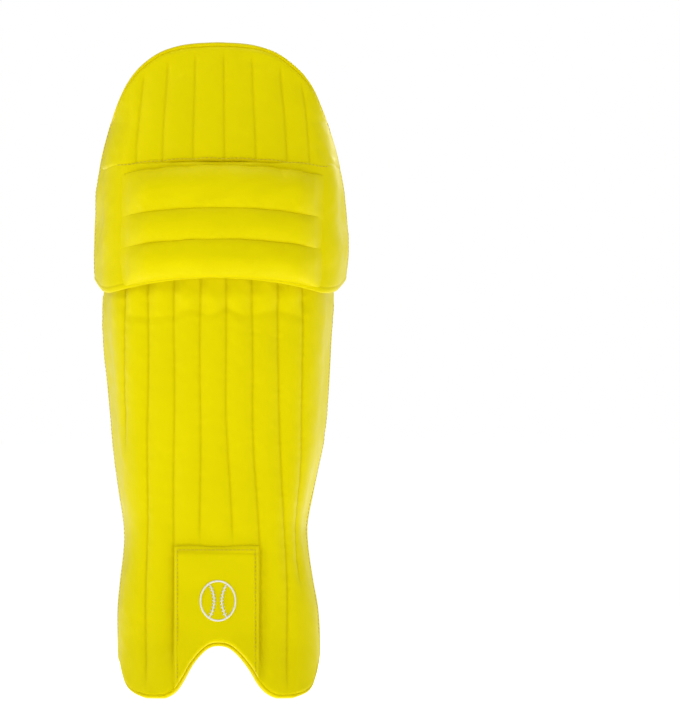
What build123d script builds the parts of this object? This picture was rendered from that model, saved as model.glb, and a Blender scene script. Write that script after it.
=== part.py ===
"""Cricket batting leg pad: a ribbed shin with wings, three knee rolls, a domed top and three straps.

Millimetres, +Z up as worn, the front faces -Y. The origin is on the axis of the leg, level with
the lowest points of the two instep lobes. Every shell follows one section: a nearly flat front arc,
a tight corner arc on each side and a straight wing. Depth is measured inwards from that surface.
"""
from build123d import *
import math
import os

# ---- driving dimensions ----
FRONT = 92.0            # leg axis to the front surface at mid shin
FRONT_RADIUS = 260.0    # arc of the front
CORNER_RADIUS = 46.0    # arc between front and wing
WING_ANGLE = math.radians(80)

SHIN_TOP = 478.0        # top of the shin section
KNEE_LOW = 488.0        # bottom of the full knee section, above the flex gap
SKIRT_LOW = 448.0       # bottom of the knee section's side skirts
SCALLOP = 592.0         # seam between the knee rolls and the top hat
LAST = 640.0            # above this height the section is constant and only trimmed
DOME_TOP = 729.0
KNEE_PROUD = 6.0        # the knee section stands this far outside the shin

COVER = 2.0             # outer skin
CANE = 12.0             # ribs of cane or foam rod behind the cover
FOAM = 8.0              # backing foam
LINER = 1.5             # inner lining
FIT = 0.4               # gap between layers
WING = 14.0             # whole thickness of a wing
BOLSTER = 47.0          # depth of the leg cushions' inner face
BINDING = 4.0           # rolled edge
STEP_UP = 17.0          # between sections

# height, left half width, right half width, wing depth
SHIN_ROWS = [
    (0, 111, 113, 60), (50, 112, 115, 66), (95, 113, 113, 72), (130, 110, 107, 76),
    (165, 106, 102, 79), (192, 106, 101, 82), (230, 112, 108, 88), (280, 118, 118, 96),
    (330, 123, 124, 103), (400, 129, 128, 108), (438, 130, 130, 106), (SHIN_TOP, 126, 128, 100),
]
KNEE_ROWS = [
    (SKIRT_LOW, 135, 138, 96), (470, 138, 144, 100), (500, 139, 147, 103), (532, 138, 145, 102),
    (565, 136, 141, 97), (600, 131, 135, 85), (LAST, 120, 123, 64), (660, 113, 115, 64),
    (678, 105, 107, 64), (695, 94, 95, 64), (709, 80, 80, 64), (720, 63, 63, 64), (DOME_TOP, 40, 40, 64),
]
# height, how far the front line moves backwards from straight
SPINE_ROWS = [(0, -30), (35, -18), (70, -8), (130, 0), (230, 0), (350, -6), (450, -12), (520, -15),
              (600, -9), (670, 6), (DOME_TOP, 22)]

RIB_SEAMS = [-106, -78.6, -49.3, -20, 9, 38.5, 67.7, 95.6]   # across the front, seven ribs
RIB_FEET = [274, 24, 176, 176, 176, 24, 130]
HAT_SEAMS = [-91, -62, -28, 7, 42, 77, 102]
ROLL_EDGES = [467, 510, 545, 592]   # heights of the knee roll seams on the centre line
ROLL_DROP = 13.0        # the roll seams fall this much towards the sides
ROLL_LEFT, ROLL_RIGHT = -118.0, 128.0   # arc lengths of the roll ends
ROLL_BACK, ROLL_BULGE = 3.0, 25.0
NOTCH_HEIGHT, NOTCH_FOOT = 59.0, 42.0

# name, lowest edge, highest edge, ring slot from the centre, reach of the tail, end of the tab
STRAPS = [
    ("ankle", 150, 211, -91, 44, 75, "shin"),
    ("calf", 331, 392, -98, 66, 101, "shin"),
    ("knee", 483, 511, -116, 54, 78, "knee"),
]
WEB = 2.2               # strap thickness
STRAP_BOW = 30.0        # the fastened straps stand out round the leg
RING_BAR = 2.0          # bar radius
RING_PITCH = 18.0       # between the two upright bars
RING_TILT = math.radians(20)
LOOP_IN, LOOP_OUT = 2.4, 4.5


def smooth(rows, height, column):
    """Cubic Hermite curve through one column of a table of rows that starts with a height."""
    height = min(max(height, rows[0][0]), rows[-1][0])
    i = max(k for k in range(len(rows) - 1) if rows[k][0] <= height)

    def slope(k):
        a, b = max(k - 1, 0), min(k + 1, len(rows) - 1)
        return (rows[b][column] - rows[a][column]) / (rows[b][0] - rows[a][0])

    span = rows[i + 1][0] - rows[i][0]
    t = (height - rows[i][0]) / span
    return ((2 * t**3 - 3 * t**2 + 1) * rows[i][column] + (t**3 - 2 * t**2 + t) * span * slope(i)
            + (3 * t**2 - 2 * t**3) * rows[i + 1][column] + (t**3 - t**2) * span * slope(i + 1))


def profile(half_width, wing_depth):
    """Angle where the corner starts and straight wing length that reach a width and a depth."""
    low, high = 0.02, 0.60
    for _ in range(40):
        start = (low + high) / 2
        wing = (wing_depth - FRONT_RADIUS * (1 - math.cos(start))
                - CORNER_RADIUS * (math.cos(start) - math.cos(WING_ANGLE))) / math.sin(WING_ANGLE)
        reach = (FRONT_RADIUS * math.sin(start) + wing * math.cos(WING_ANGLE)
                 + CORNER_RADIUS * (math.sin(WING_ANGLE) - math.sin(start)))
        low, high = (start, high) if reach < half_width else (low, start)
    return start, wing


class Section:
    """The pad's cross-section at one height, for the shin or the knee section."""

    def __init__(self, height, rows):
        self.height = height
        self.y = -FRONT + smooth(SPINE_ROWS, height, 1) - (KNEE_PROUD if rows is KNEE_ROWS else 0)
        self.sides = {}
        for sign, column in ((-1, 1), (1, 2)):
            level = min(height, LAST)
            start, wing = profile(smooth(rows, level, column), smooth(rows, level, 3))
            self.sides[sign] = (start, wing)
            self.sides[sign, "end"] = self.along(sign * smooth(rows, height, column))

    def along(self, x):
        """Arc length from the centre line of a place given by its distance from it."""
        sign, x = (1 if x >= 0 else -1), abs(x)
        start, _ = self.sides[sign]
        flat = FRONT_RADIUS * math.sin(start)
        corner = flat + CORNER_RADIUS * (math.sin(WING_ANGLE) - math.sin(start))
        if x <= flat:
            return sign * FRONT_RADIUS * math.asin(x / FRONT_RADIUS)
        if x <= corner:
            angle = math.asin(math.sin(start) + (x - flat) / CORNER_RADIUS)
            return sign * (FRONT_RADIUS * start + CORNER_RADIUS * (angle - start))
        return sign * (FRONT_RADIUS * start + CORNER_RADIUS * (WING_ANGLE - start)
                       + (x - corner) / math.cos(WING_ANGLE))

    def end(self, sign):
        return self.sides[sign, "end"]

    def wing_at(self, sign, inward, depth):
        """Arc length where a layer at a depth is this far behind the front."""
        low, high = 40.0, 260.0
        for _ in range(40):
            middle = (low + high) / 2
            near = self.point(sign * middle, depth).Y - self.y < inward
            low, high = (middle, high) if near else (low, middle)
        return sign * low

    def point(self, s, depth):
        """A point at arc length s and a depth inside the surface."""
        sign = 1 if s >= 0 else -1
        start, _ = self.sides[sign]
        a, flat = abs(s), FRONT_RADIUS * start
        bend = flat + CORNER_RADIUS * (WING_ANGLE - start)
        angle = a / FRONT_RADIUS if a <= flat else min(start + (a - flat) / CORNER_RADIUS, WING_ANGLE)
        x = FRONT_RADIUS * math.sin(min(angle, start))
        y = FRONT_RADIUS * (1 - math.cos(min(angle, start)))
        if a > flat:
            x += CORNER_RADIUS * (math.sin(angle) - math.sin(start))
            y += CORNER_RADIUS * (math.cos(start) - math.cos(angle))
        if a > bend:
            x += (a - bend) * math.cos(WING_ANGLE)
            y += (a - bend) * math.sin(WING_ANGLE)
        x -= depth * math.sin(angle)
        return Vector(sign * x, self.y + y + depth * math.cos(angle), self.height)


def shin(height):
    return Section(height, SHIN_ROWS)


def knee(height):
    return Section(height, KNEE_ROWS)


def heights(low, high):
    """Section heights on one common grid, so that neighbouring layers bend alike."""
    grid = [k * STEP_UP for k in range(100) if low + 4 < k * STEP_UP < high - 4]
    return [low, *grid, high]


def evenly(a, b, count):
    return [a + (b - a) * k / (count - 1) for k in range(count)]


def spread(a, b, step=12.0):
    return evenly(a, b, max(3, round(abs(b - a) / step) + 1))


def closed_wire(outer, inner):
    """A section's outline from its two long sides, joined by short straight ends."""
    return Wire([Edge.make_spline(outer), Edge.make_line(outer[-1], inner[-1]),
                 Edge.make_spline(inner[::-1]), Edge.make_line(inner[0], outer[0])])


def layer(section, low, high, left, right, near, far):
    """A curved slab between two depths. left and right give arc lengths for a Section."""
    wires = []
    for height in heights(low, high):
        cut = section(height)
        run = spread(left(cut), right(cut))
        wires.append(closed_wire([cut.point(s, near) for s in run], [cut.point(s, far) for s in run]))
    return Solid.make_loft(wires, True)


def at_x(x):
    return lambda cut: cut.along(x)


def edge(sign, inset=0.0):
    return lambda cut: cut.end(sign) - sign * inset


def prism_xz(outline, low=-250.0, high=150.0):
    """A block through the pad from front to back with a front-view outline."""
    face = Face(Wire(outline))
    return Solid.extrude(face.moved(Location((0, low, 0))), Vector(0, high - low, 0))


def foot_cutter(grow=0.0):
    """What is cut from below: the arched notch between the lobes and their rounded corners."""
    top, foot = NOTCH_HEIGHT + grow, NOTCH_FOOT + grow
    arch = [(-foot - 12, 3 + grow), (-foot, 10 + grow), (-foot * 0.62, 0.63 * top), (0, top),
            (foot * 0.62, 0.63 * top), (foot, 10 + grow), (foot + 12, 3 + grow)]
    points = [(-150, 62 + grow), (-112, 40 + grow), (-103, 14 + grow), (-85, 2.5 + grow), (-66, grow)]
    points += arch + [(72, grow), (90, 3 + grow), (106, 13 + grow), (114, 40 + grow), (150, 62 + grow)]
    curve = Edge.make_spline([Vector(x, 0, z) for x, z in points])
    first, last = curve @ 0, curve @ 1
    below = [Vector(last.X, 0, -60), Vector(first.X, 0, -60)]
    return prism_xz([curve, Edge.make_line(last, below[0]), Edge.make_line(below[0], below[1]),
                     Edge.make_line(below[1], first)])


def wing_top_cutter():
    """What is cut from the shin's wings so that they clear the knee section as it leans back."""
    points = [Vector(0, -62, SHIN_TOP + 1), Vector(0, 30, SHIN_TOP - 27), Vector(0, 30, 560),
              Vector(0, -62, 560)]
    face = Face(Wire.make_polygon(points, close=True)).moved(Location((-250, 0, 0)))
    return Solid.extrude(face, Vector(500, 0, 0))


PARTS = {}


def keep(name, *solids):
    PARTS[name] = solids[0] if len(solids) == 1 else Compound(children=list(solids))


def only(shape):
    """The one solid of a boolean result."""
    return max(shape.solids(), key=lambda solid: solid.volume)


# ---- shin section ----
FOOT = foot_cutter()
WING_TOP = wing_top_cutter()
CANE_NEAR = COVER + FIT
FOAM_NEAR = CANE_NEAR + CANE + FIT
LINER_NEAR = FOAM_NEAR + FOAM + FIT
LINER_FAR = LINER_NEAR + LINER
CUSHION_NEAR = LINER_FAR + 0.7


def shin_shell():
    keep("shin_cover", only(layer(shin, 0, SHIN_TOP, edge(-1), edge(1), 0, COVER) - FOOT - WING_TOP))
    for number, (a, b, low) in enumerate(zip(RIB_SEAMS, RIB_SEAMS[1:], RIB_FEET), 1):
        cane = layer(shin, low, SHIN_TOP - 18, at_x(a + 0.6), at_x(b - 0.6), CANE_NEAR, CANE_NEAR + CANE)
        keep(f"shin_cane_{number}", cane)
    foam = layer(shin, 6, SHIN_TOP - 4, at_x(-88), at_x(88), FOAM_NEAR, FOAM_NEAR + FOAM)
    keep("shin_backing_foam", only(foam - foot_cutter(6)))
    liner = layer(shin, 4, SHIN_TOP, at_x(-90), at_x(90), LINER_NEAR, LINER_FAR)
    keep("shin_liner", only(liner - foot_cutter(3)))
    for name, sign, above, turn in (("left", -1, RIB_SEAMS[0] - 2, 265), ("right", 1, RIB_SEAMS[-1] + 3, 110)):
        def inner(below, sign=sign, above=above, turn=turn):
            ends = [edge(sign, BINDING), lambda cut: cut.along(above if cut.height > turn else below)]
            return ends[::-sign]

        foam = layer(shin, 40, SHIN_TOP - 2, *inner(sign * 83), CANE_NEAR, WING - LINER - 2 * FIT)
        keep(f"wing_foam_{name}", only(foam - WING_TOP))
        lining = layer(shin, 40, SHIN_TOP - 2, *inner(sign * 93), WING - LINER, WING)
        keep(f"wing_lining_{name}", only(lining - WING_TOP))


def shin_binding():
    strips = []
    for sign in (-1, 1):
        ends = [edge(sign, -BINDING), edge(sign, -0.3)][::-sign]
        strips.append(only(layer(shin, 46, SHIN_TOP - 8, *ends, -0.6, WING + 0.6) - WING_TOP))
    keep("shin_binding", *strips)


def instep_patch():
    """Raised panel over the instep with its filling, and the round mark on it."""
    hole = foot_cutter(8)
    foam = layer(shin, 20, 166, at_x(-46), at_x(43), -6.0, -0.4)
    panel = layer(shin, 17, 169, at_x(-49), at_x(46), -8.4, -6.4)
    keep("instep_foam", only(foam - hole))
    keep("instep_panel", only(panel - foot_cutter(5)))
    patch = layer(shin, 88, 140, at_x(-24), at_x(24), -10, -8.8)
    keep("badge", only(patch & Solid.make_cylinder(20, 400, Plane((0, -250, 114), z_dir=(0, 1, 0)))))


def cushion(low, high, left, right, far, end_round, near=CUSHION_NEAR):
    """A leg cushion on the liner: flat towards the leg, thinning at its lower and upper ends.

    left and right are distances from the centre line, or None to nestle against that wing.
    """
    wires = []
    for height in heights(low, high):
        cut = shin(height)
        away = min(height - low, high - height, end_round)
        lift = 0.55 + 0.45 * math.sin(math.pi / 2 * away / end_round)
        reach = near + (far - near) * lift
        ends = [cut.wing_at(sign, reach - 7, WING + 1) if x is None else cut.along(x)
                for sign, x in ((-1, left), (1, right))]
        step_off = [abs(cut.along(sign * 95)) for sign in (-1, 1)]
        front = []
        for s in evenly(*ends, 11):
            past = min(max((abs(s) - step_off[s > 0]) / 14, 0), 1)
            front.append(cut.point(s, near + (WING + 1 - near) * past))
        back = []
        for k in range(9):
            t = k / 4 - 1
            x = front[0].X + (front[-1].X - front[0].X) * (t + 1) / 2
            foot = front[0].Y + (front[-1].Y - front[0].Y) * (t + 1) / 2
            back.append(Vector(x, max(cut.y + reach - 5 * abs(t) ** 3, foot + 4), height))
        wires.append(Wire.make_polygon(front + back[::-1], close=True))
    return Solid.make_loft(wires, True)


def leg_cushions():
    """Three long cushions up the shin, one across under the knee and three over the instep."""
    for name, left, right in (("left", None, -55), ("centre", -53.5, 25), ("right", 26.5, None)):
        keep(f"bolster_{name}", cushion(128, 449, left, right, BOLSTER, 26))
    pieces = [(None, -46), (-44.5, 34), (35.5, None)]
    keep("knee_bolster", *[cushion(453, 477, a, b, 43, 8, CUSHION_NEAR + 1.2) for a, b in pieces])
    panels = [(-86, -57.5), (-56, 27), (28.5, 88)]
    hole = foot_cutter(14)
    keep("instep_liner", *[only(cushion(5, 125, a, b, 38, 16) - hole) for a, b in panels])


# ---- knee section ----
def roll_wire(s, low, high, back, bulge):
    """D-shaped section of a knee roll, upright and square to the surface at arc length s."""
    middle = (low + high) / 2
    drop = ROLL_DROP * (s / 125) ** 2
    cut = knee(min(middle, LAST))
    foot, tip = cut.point(s, -back), cut.point(s, -back - bulge)
    centre = Vector(foot.X, foot.Y, middle - drop)
    out = Vector(tip.X - foot.X, tip.Y - foot.Y, 0)
    half = (high - low) / 2
    front = [centre + out * math.sin(a) ** 0.9 + Vector(0, 0, -half * math.cos(a))
             for a in [math.pi * k / 8 for k in range(9)]]
    return Wire([Edge.make_spline(front), Edge.make_line(front[-1], front[0])])


def roll(low, high, back, bulge, shrink=0.0):
    wires = []
    for s in spread(ROLL_LEFT + shrink, ROLL_RIGHT - shrink, 24):
        reach = (s - (ROLL_LEFT + ROLL_RIGHT) / 2) / ((ROLL_RIGHT - ROLL_LEFT) / 2)
        swell = 1.0 - 0.72 * abs(reach) ** 4
        wires.append(roll_wire(s, low + shrink, high - shrink, back, bulge * swell - shrink))
    return Solid.make_loft(wires)


def knee_rolls():
    for number, (low, high) in enumerate(zip(ROLL_EDGES, ROLL_EDGES[1:]), 1):
        outer = roll(low + 0.4, high - 0.4, ROLL_BACK, ROLL_BULGE)
        space = roll(low + 0.4, high - 0.4, ROLL_BACK + 2, ROLL_BULGE - 2, 2.0)
        keep(f"knee_roll_cover_{number}", only(outer - space))
        keep(f"knee_roll_core_{number}", roll(low + 0.4, high - 0.4, ROLL_BACK + 2.6, ROLL_BULGE - 2.6, 2.6))


def knee_shell():
    """The knee's skin with its side skirts, the shield and foam behind it, wings and cushions."""
    skin = layer(knee, SKIRT_LOW, SCALLOP, edge(-1), edge(1), 0, COVER)
    window = prism_xz(Wire.make_polygon([Vector(-97, 0, 400), Vector(97, 0, 400),
                                         Vector(97, 0, KNEE_LOW), Vector(-97, 0, KNEE_LOW)],
                                        close=True).edges())
    keep("knee_cover", only(skin - window))
    keep("knee_shield", layer(knee, KNEE_LOW + 1, 590, at_x(-104), at_x(110), 2.4, 5.0))
    keep("knee_foam", layer(knee, KNEE_LOW + 1, 594, at_x(-102), at_x(106), 5.4, 20.0))
    keep("knee_liner", layer(knee, KNEE_LOW, 608, at_x(-100), at_x(102), 20.4, 22.0))
    foams, linings = [], []
    for sign, inner in ((-1, -108), (1, 114)):
        ends = [edge(sign, BINDING), at_x(inner)][::sign * -1]
        foams.append(layer(knee, KNEE_LOW + 1, 594, *ends, CANE_NEAR, WING - LINER - FIT))
        linings.append(layer(knee, KNEE_LOW + 1, 594, *ends, WING - LINER, WING))
    keep("knee_wing_foam", *foams)
    keep("knee_wing_lining", *linings)


def knee_cushion(low, high, left, right, near, far, slope=0.0):
    """A pad inside the knee. left and right give its edges at a height."""
    wires = []
    for height in heights(low, high):
        cut = knee(height)
        away = min(height - low, high - height)
        lift = min(1.0, 0.6 + 0.4 * away / 12)
        run = spread(cut.along(left(height)), cut.along(right(height)), 14)
        front = [cut.point(s, near) for s in run]
        back = [cut.point(s, near + (far - near) * lift) for s in run]
        wires.append(closed_wire(front, back))
    return Solid.make_loft(wires, True)


def knee_cushions():
    cup = knee_cushion(514, 606, lambda z: -45 - (z - 514) * 0.1, lambda z: 44 + (z - 514) * 0.12, 22.4, 40)
    keep("knee_cup", cup)
    for name, sign, inner in (("left", -1, -50), ("right", 1, 50)):
        def near_edge(z, sign=sign, inner=inner):
            return inner + sign * (5 + (z - 514) * 0.12)

        def far_edge(z, sign=sign):
            return sign * (96 + (6 if sign > 0 else 0))
        ends = [far_edge, near_edge][::-sign]
        keep(f"knee_wing_pad_{name}", knee_cushion(514, 590, *ends, 22.4, 31))


def top_hat():
    low = SCALLOP + 0.5
    keep("top_hat_cover", layer(knee, low, DOME_TOP, edge(-1), edge(1), 0, COVER))
    rods = []
    for a, b in zip(HAT_SEAMS, HAT_SEAMS[1:]):
        high = max(z for z in range(610, 725, 3) if -smooth(KNEE_ROWS, z, 1) + 9 < a
                   and b < smooth(KNEE_ROWS, z, 2) - 9)
        rods.append(layer(knee, SCALLOP + 4, high, at_x(a + 0.6), at_x(b - 0.6), CANE_NEAR, 12.4))
    keep("top_hat_canes", *rods)

    def inner(sign):
        return lambda cut: sign * min(abs(cut.end(sign)) - 5, abs(cut.along(sign * 100)))
    keep("top_hat_foam", layer(knee, 597, DOME_TOP - 8, inner(-1), inner(1), 12.8, 20.0))
    keep("top_hat_liner", layer(knee, 610, DOME_TOP - 6, inner(-1), inner(1), 20.4, 22.0))


def knee_binding():
    """Rolled edge along both knee wings and over the dome."""
    sides = []
    for sign in (-1, 1):
        ends = [edge(sign, -BINDING), edge(sign, -0.3)][::-sign]
        sides.append(layer(knee, SKIRT_LOW + 42, DOME_TOP - 24, *ends, -0.6, WING + 0.6))
    keep("knee_binding", *sides)


# ---- straps ----
def disc(x, y, radius, low, high):
    return Solid.make_cylinder(radius, high - low, Plane((x, y, low)))


def band(points, low, high, thickness=WEB):
    """Flat webbing standing on edge: a path in plan, thickened and extruded upwards."""
    sides = ([], [])
    for k, point in enumerate(points):
        ahead, behind = points[min(k + 1, len(points) - 1)], points[max(k - 1, 0)]
        along = Vector(ahead[0] - behind[0], ahead[1] - behind[1], 0).normalized()
        across = Vector(-along.Y, along.X, 0) * (thickness / 2)
        sides[0].append(Vector(point[0], point[1], low) + across)
        sides[1].append(Vector(point[0], point[1], low) - across)
    return Solid.extrude(Face(closed_wire(sides[0], sides[1])), Vector(0, 0, high - low))


def strap(name, low, high, slot, tail_end, tab_end, section):
    """One fastened strap: sewn inside the right wing, through the ring on the left and back."""
    cuts = [section(height) for height in heights(low, high)]
    left_x = min(cut.point(cut.end(-1), 0).X for cut in cuts)
    left_y = max(cut.point(cut.end(-1), 0).Y for cut in cuts)
    right_x = min(cut.point(cut.end(1) - 34, WING).X for cut in cuts)
    right_y = min(cut.point(cut.end(1), WING).Y for cut in cuts)
    ring_x, ring_y = slot - RING_PITCH / 2 * math.cos(RING_TILT), left_y + BINDING + LOOP_OUT + 3
    strap_x, strap_y = ring_x + RING_PITCH * math.cos(RING_TILT), ring_y + RING_PITCH * math.sin(RING_TILT)
    anchor_x, anchor_y = right_x - 1.6, right_y + 4
    # circle through the ring's strap bar and the bend over the other wing
    chord = math.hypot(anchor_x - strap_x, anchor_y - strap_y)
    radius = (chord**2 / 4 + STRAP_BOW**2) / (2 * STRAP_BOW)
    tilt = math.atan2(anchor_y - strap_y, anchor_x - strap_x)
    half = math.asin(chord / 2 / radius)
    centre_x = (strap_x + anchor_x) / 2 + (radius - STRAP_BOW) * math.sin(tilt)
    centre_y = (strap_y + anchor_y) / 2 - (radius - STRAP_BOW) * math.cos(tilt)

    def on_arc(angle, offset):
        return (centre_x + (radius + offset) * math.sin(angle), centre_y + (radius + offset) * math.cos(angle))

    def angle_at(x):
        return math.asin((x - centre_x) / radius)

    first, final = -half - tilt, half - tilt
    lay = WEB / 2 + 0.3
    base = [on_arc(a, -lay) for a in spread(first + 9.5 / radius, final - 6 / radius, 12 / radius)]
    base += [(anchor_x - 0.8, right_y - 9), (anchor_x - 1.6, right_y - 26)]
    keep(f"{name}_base_strap", band(base, low, high))

    tail = band([on_arc(a, lay) for a in spread(first + 3.4 / radius, angle_at(tail_end), 12 / radius)],
                low, high)
    loop = disc(strap_x, strap_y, LOOP_OUT, low, high)
    hole = disc(strap_x, strap_y, LOOP_IN, low - 1, high + 1)
    keep(f"{name}_strap_tail", only((tail + loop) - hole))

    tab = band([on_arc(a, lay + 0.5) for a in spread(angle_at(tail_end + 0.2), angle_at(tab_end), 12 / radius)],
               low + 3, high - 3, WEB + 1)
    middle, end = (low + high) / 2, (high - low) * 0.19
    outline = [(tail_end - 5, low + 3), (tab_end + 5, middle - end), (tab_end + 5, middle + end),
               (tail_end - 5, high - 3)]
    taper = prism_xz(Wire.make_polygon([Vector(x, 0, z) for x, z in outline], close=True).edges())
    keep(f"{name}_hook_tab", only(tab & taper))

    along = Plane((ring_x, ring_y, low - 5), x_dir=(math.cos(RING_TILT), math.sin(RING_TILT), 0))
    ring = disc(ring_x, ring_y, RING_BAR, low - 5, high + 5) + disc(strap_x, strap_y, RING_BAR, low - 5, high + 5)
    for level in (0, high - low + 7):
        plate = Solid.make_box(RING_PITCH, 2 * RING_BAR, 3, along.offset(level))
        ring += plate.moved(Location((RING_BAR * math.sin(RING_TILT), -RING_BAR * math.cos(RING_TILT), 0)))
    keep(f"{name}_ring", only(ring))

    # keeper: sewn to the lining inside the left wing and taken round the ring's outer bar
    path = []
    for inward in (32, 18, 5):
        spots = [cut.point(cut.end(-1) + inward, WING + WEB / 2 + 1) for cut in cuts]
        path.append((max(spot.X for spot in spots), max(spot.Y for spot in spots)))
    corner = (path[-1][0], left_y + BINDING + 1.7)
    away = math.hypot(corner[0] - ring_x, corner[1] - ring_y) / 3.4
    path += [corner, (ring_x + (corner[0] - ring_x) / away, ring_y + (corner[1] - ring_y) / away)]
    keeper = band(path, low + 2, high - 2)
    loop = disc(ring_x, ring_y, LOOP_OUT, low + 2, high - 2)
    hole = disc(ring_x, ring_y, LOOP_IN, low, high)
    keep(f"{name}_keeper", only((keeper + loop) - hole))
    print(f"{name}: ring axis {ring_x:.1f} {ring_y:.2f}, strap axis {strap_x:.1f} {strap_y:.2f}, "
          f"arc centre {centre_x:.1f} {centre_y:.1f}, radius {radius:.1f}")


shin_shell()
shin_binding()
instep_patch()
leg_cushions()
knee_rolls()
knee_shell()
knee_cushions()
top_hat()
knee_binding()
for *row, body in STRAPS:
    strap(*row, {"shin": shin, "knee": knee}[body])

os.makedirs("parts", exist_ok=True)
for part_name, part in PARTS.items():
    part.label = part_name
    export_step(part, f"parts/{part_name}.step")
print(len(PARTS), "nodes")
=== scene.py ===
"""The finished look of the cricket leg pad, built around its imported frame. Shapes are worked out in millimetres
in the frame's own axes and turned into metres when a mesh is made."""
import math

import bpy
import numpy as np
from mathutils import Matrix, Vector


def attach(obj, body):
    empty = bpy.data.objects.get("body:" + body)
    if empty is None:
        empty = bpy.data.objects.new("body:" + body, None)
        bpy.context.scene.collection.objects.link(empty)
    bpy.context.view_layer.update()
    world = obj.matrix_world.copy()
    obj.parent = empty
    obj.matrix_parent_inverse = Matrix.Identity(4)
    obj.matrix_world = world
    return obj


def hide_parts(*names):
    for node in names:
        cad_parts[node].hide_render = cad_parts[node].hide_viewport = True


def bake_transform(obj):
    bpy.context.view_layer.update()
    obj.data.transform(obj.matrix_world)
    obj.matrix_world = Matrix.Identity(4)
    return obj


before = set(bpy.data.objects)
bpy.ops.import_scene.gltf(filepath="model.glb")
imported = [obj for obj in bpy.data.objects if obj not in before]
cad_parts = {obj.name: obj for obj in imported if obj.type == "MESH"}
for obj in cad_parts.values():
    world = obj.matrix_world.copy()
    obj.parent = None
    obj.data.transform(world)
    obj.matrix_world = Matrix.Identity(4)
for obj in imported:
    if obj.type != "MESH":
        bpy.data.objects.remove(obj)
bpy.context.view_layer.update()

MM = 0.001

# ---- the pad's own dimensions, as in the frame ----
FRONT, FRONT_RADIUS, CORNER_RADIUS, WING_ANGLE = 92.0, 260.0, 46.0, math.radians(80)
SHIN_TOP, KNEE_LOW, SKIRT_LOW, LAST, DOME_TOP, KNEE_PROUD = 478.0, 488.0, 448.0, 640.0, 730.0, 6.0
WING, LINER_DEPTH, BOLSTER = 14.0, 24.6, 47.0
SHIN_ROWS = [
    (0, 111, 113, 60), (50, 112, 115, 66), (95, 113, 113, 72), (130, 110, 107, 76),
    (165, 106, 102, 79), (192, 106, 101, 82), (230, 112, 108, 88), (280, 118, 118, 96),
    (330, 123, 124, 103), (400, 129, 128, 108), (438, 130, 130, 106), (SHIN_TOP, 126, 128, 100),
]
KNEE_ROWS = [
    (SKIRT_LOW, 135, 138, 96), (470, 138, 144, 100), (500, 139, 147, 103), (532, 138, 145, 102),
    (565, 136, 141, 97), (600, 131, 135, 85), (LAST, 120, 123, 64), (660, 113, 115, 64),
    (678, 105, 107, 64), (695, 94, 95, 64), (709, 80, 80, 64), (720, 63, 63, 64), (727, 40, 40, 64),
    (DOME_TOP, 1, 1, 64),
]
SPINE_ROWS = [(0, -30), (35, -18), (70, -8), (130, 0), (230, 0), (350, -6), (450, -12), (520, -15),
              (600, -9), (670, 6), (DOME_TOP, 22)]
RIB_SEAMS = [-106, -78.6, -49.3, -20, 9, 38.5, 67.7, 95.6]
HAT_SEAMS = [-91, -62, -28, 7, 42, 77, 102]
ROLL_EDGES = [467, 510, 545, 592]
ROLL_DROP = 13.0
STRAPS = {"ankle": (150, 211, 44, 75), "calf": (331, 392, 66, 101), "knee": (483, 511, 54, 78)}
WEB, STRAP_BOW, LOOP_OUT, RING_BAR, BINDING = 2.2, 30.0, 4.5, 2.0, 4.0


def hermite(rows, heights, column):
    """Smooth curve through a column of rows that start with a height, at many heights."""
    z = np.array([row[0] for row in rows], float)
    v = np.array([row[column] for row in rows], float)
    slope = np.empty_like(v)
    slope[1:-1] = (v[2:] - v[:-2]) / (z[2:] - z[:-2])
    slope[0], slope[-1] = (v[1] - v[0]) / (z[1] - z[0]), (v[-1] - v[-2]) / (z[-1] - z[-2])
    h = np.clip(heights, z[0], z[-1])
    i = np.clip(np.searchsorted(z, h, side="right") - 1, 0, len(z) - 2)
    span = z[i + 1] - z[i]
    t = (h - z[i]) / span
    return ((2 * t**3 - 3 * t**2 + 1) * v[i] + (t**3 - 2 * t**2 + t) * span * slope[i]
            + (3 * t**2 - 2 * t**3) * v[i + 1] + (t**3 - t**2) * span * slope[i + 1])


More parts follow.
